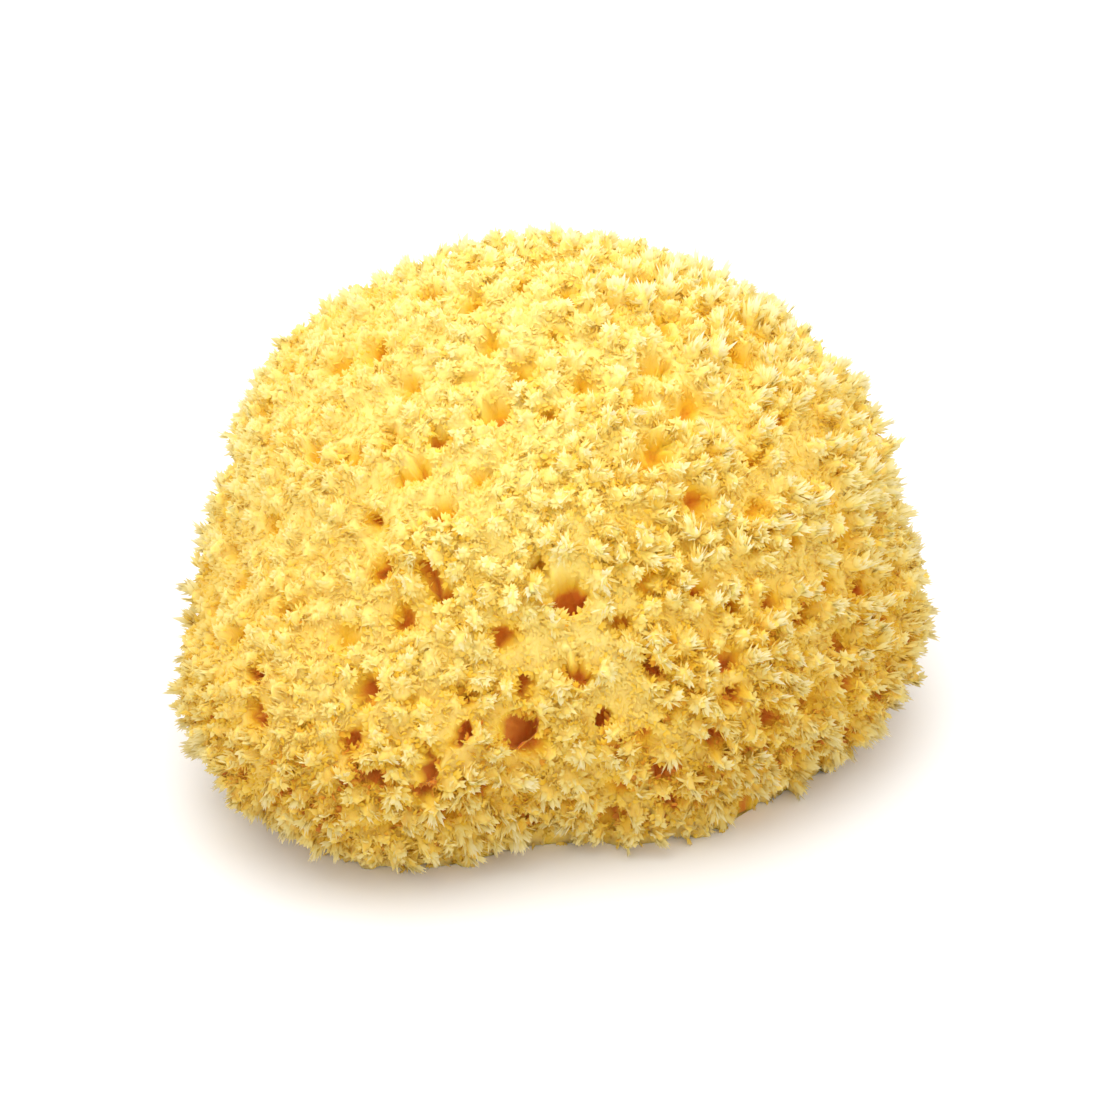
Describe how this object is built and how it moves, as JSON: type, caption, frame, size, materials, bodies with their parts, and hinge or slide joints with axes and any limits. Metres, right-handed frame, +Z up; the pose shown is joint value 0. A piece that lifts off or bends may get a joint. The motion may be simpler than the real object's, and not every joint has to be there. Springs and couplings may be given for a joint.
{
  "type": "sea sponge",
  "caption": "Natural bath sponge, the dried skeleton of a wool sea sponge: a low lobed mound covered in ragged tufts, with round openings and a flat cut base.",
  "frame": {"origin": "middle of the bounding box on the flat face where the sponge was cut from the rock", "axes": "+Z up, away from the cut face; +X along the sponge's width, its longest extent; -Y towards the side with the largest opening"},
  "size_m": [0.152, 0.136, 0.097],
  "materials": {
    "sponge_fibre": "soft matt fibre, pale straw at the tips of the tufts, golden yellow between them and orange brown deep in the openings"
  },
  "bodies": {
    "root": {"sponge": "sponge_fibre"}
  },
  "joints": []
}
